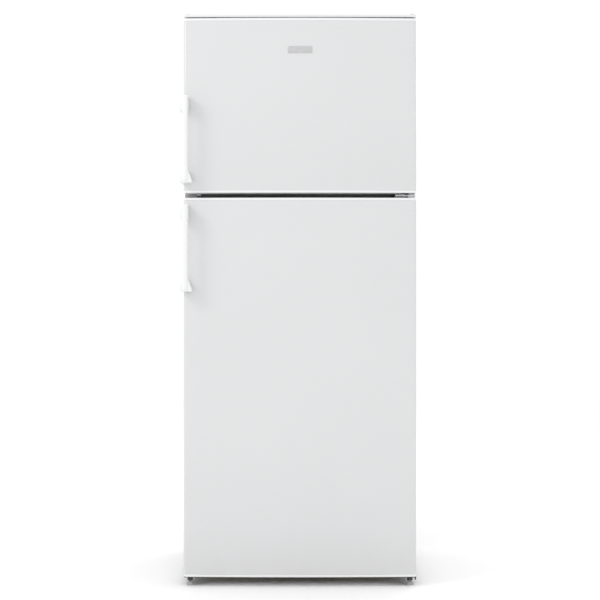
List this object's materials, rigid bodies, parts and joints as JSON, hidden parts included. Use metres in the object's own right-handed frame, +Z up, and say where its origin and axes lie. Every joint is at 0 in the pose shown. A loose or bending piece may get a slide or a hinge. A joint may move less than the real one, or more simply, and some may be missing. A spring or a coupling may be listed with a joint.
{
  "type": "top freezer refrigerator",
  "caption": "Free-standing two-door refrigerator with a freezer compartment above and side handles; doors, drawer, flap, knob, switch, fan, feet and rollers move.",
  "frame": {"origin": "on the floor, under the middle of the overall bounding box", "axes": "+Z up, the doors face -Y, and the hinges are on the +X side"},
  "size_m": [0.709, 0.725, 1.726],
  "materials": {
    "white_steel": "gloss",
    "zinc_steel": "satin",
    "black_steel": "satin",
    "insulation": "matte",
    "liner_white": "gloss",
    "dark_plastic": "matte",
    "grey_plastic": "matte",
    "white_plastic": "satin",
    "bright_steel": "satin",
    "black_plastic": "matte",
    "black_rubber": "matte",
    "copper": "satin",
    "fin_aluminium": "satin",
    "lamp_lens": "satin",
    "shelf_glass": "gloss",
    "clear_plastic": "gloss",
    "gasket_vinyl": "matte",
    "badge_metal": "satin"
  },
  "bodies": {
    "cabinet": {"outer_wrapper": "white_steel", "back_panel": "zinc_steel", "base_frame": "black_steel", "cabinet_foam": "insulation", "freezer_liner": "liner_white", "fridge_liner": "liner_white", "cross_rail": "dark_plastic", "blanking_plate": "grey_plastic", "top_cover": "white_plastic", "top_hinge": "bright_steel", "top_hinge_cover": "white_plastic", "middle_hinge": "bright_steel", "bottom_hinge": "black_steel", "hinge_screws": "bright_steel", "condenser_coil": "black_steel", "condenser_wires": "black_steel", "condenser_brackets": "black_plastic", "compressor": "black_steel", "compressor_mounts": "black_rubber", "compressor_relay": "black_plastic", "filter_drier": "copper", "refrigerant_pipes": "copper", "drain_pan": "black_plastic", "drain_tube": "grey_plastic", "mains_inlet": "black_plastic", "evaporator": "fin_aluminium", "evaporator_cover": "liner_white", "fan_motor": "black_plastic", "air_duct": "liner_white", "control_housing": "liner_white", "lamp": "lamp_lens", "switch_housing": "liner_white", "freezer_shelf": "liner_white", "fridge_shelves": "shelf_glass", "shelf_trims": "white_plastic", "crisper_cover": "shelf_glass"},
    "freezer_door": {"freezer_door_skin": "white_steel", "freezer_door_foam": "insulation", "freezer_door_liner": "liner_white", "freezer_door_gasket": "gasket_vinyl", "freezer_door_caps": "white_plastic", "freezer_door_racks": "clear_plastic", "freezer_handle": "white_plastic", "badge_plate": "badge_metal"},
    "fridge_door": {"fridge_door_skin": "white_steel", "fridge_door_foam": "insulation", "fridge_door_liner": "liner_white", "fridge_door_gasket": "gasket_vinyl", "fridge_door_caps": "white_plastic", "fridge_door_racks": "clear_plastic", "fridge_handle": "white_plastic"},
    "dairy_flap": {"dairy_flap": "clear_plastic"},
    "crisper_drawer": {"crisper_drawer": "clear_plastic"},
    "thermostat_knob": {"thermostat_knob": "white_plastic"},
    "door_switch": {"door_switch": "white_plastic"},
    "evaporator_fan": {"evaporator_fan": "grey_plastic"},
    "front_foot_left": {"front_foot_left": "grey_plastic"},
    "front_foot_right": {"front_foot_right": "grey_plastic"},
    "rear_roller_left": {"rear_roller_left": "grey_plastic"},
    "rear_roller_right": {"rear_roller_right": "grey_plastic"}
  },
  "joints": [
    {"name": "freezer_door_hinge", "type": "hinge", "parent": "cabinet", "child": "freezer_door", "pos_m": [0.332, -0.286, 1.44525], "axis": [0, 0, 1], "range_deg": [0, 120]},
    {"name": "fridge_door_hinge", "type": "hinge", "parent": "cabinet", "child": "fridge_door", "pos_m": [0.332, -0.286, 0.5985], "axis": [0, 0, 1], "range_deg": [0, 120]},
    {"name": "dairy_flap_hinge", "type": "hinge", "parent": "fridge_door", "child": "dairy_flap", "pos_m": [0, -0.2485, 1.048], "axis": [1, 0, 0], "range_deg": [0, 70]},
    {"name": "crisper_slide", "type": "slide", "parent": "cabinet", "child": "crisper_drawer", "axis": [0, -1, 0], "range_m": [0, 0.2]},
    {"name": "switch_plunge", "type": "slide", "parent": "cabinet", "child": "door_switch", "axis": [0, -1, 0], "range_m": [0, 0.006]},
    {"name": "thermostat_turn", "type": "hinge", "parent": "cabinet", "child": "thermostat_knob", "pos_m": [0, -0.1385, 1.116], "axis": [0, -1, 0], "range_deg": [0, 270]},
    {"name": "fan_spin", "type": "hinge", "parent": "cabinet", "child": "evaporator_fan", "pos_m": [0, 0.2265, 1.591], "axis": [0, 1, 0], "continuous": true},
    {"name": "foot_left_turn", "type": "hinge", "parent": "cabinet", "child": "front_foot_left", "pos_m": [-0.332, -0.286, 0], "axis": [0, 0, 1], "continuous": true},
    {"name": "foot_right_turn", "type": "hinge", "parent": "cabinet", "child": "front_foot_right", "pos_m": [0.332, -0.286, 0], "axis": [0, 0, 1], "continuous": true},
    {"name": "roller_left_roll", "type": "hinge", "parent": "cabinet", "child": "rear_roller_left", "pos_m": [-0.333, 0.2925, 0.012], "axis": [1, 0, 0], "continuous": true},
    {"name": "roller_right_roll", "type": "hinge", "parent": "cabinet", "child": "rear_roller_right", "pos_m": [0.333, 0.2925, 0.012], "axis": [1, 0, 0], "continuous": true}
  ],
  "couplings": [
    {"joint": "crisper_slide", "follows": "fridge_door_hinge", "m_per_rad": 0.095},
    {"joint": "switch_plunge", "follows": "fridge_door_hinge", "m_per_rad": 0.0028}
  ]
}
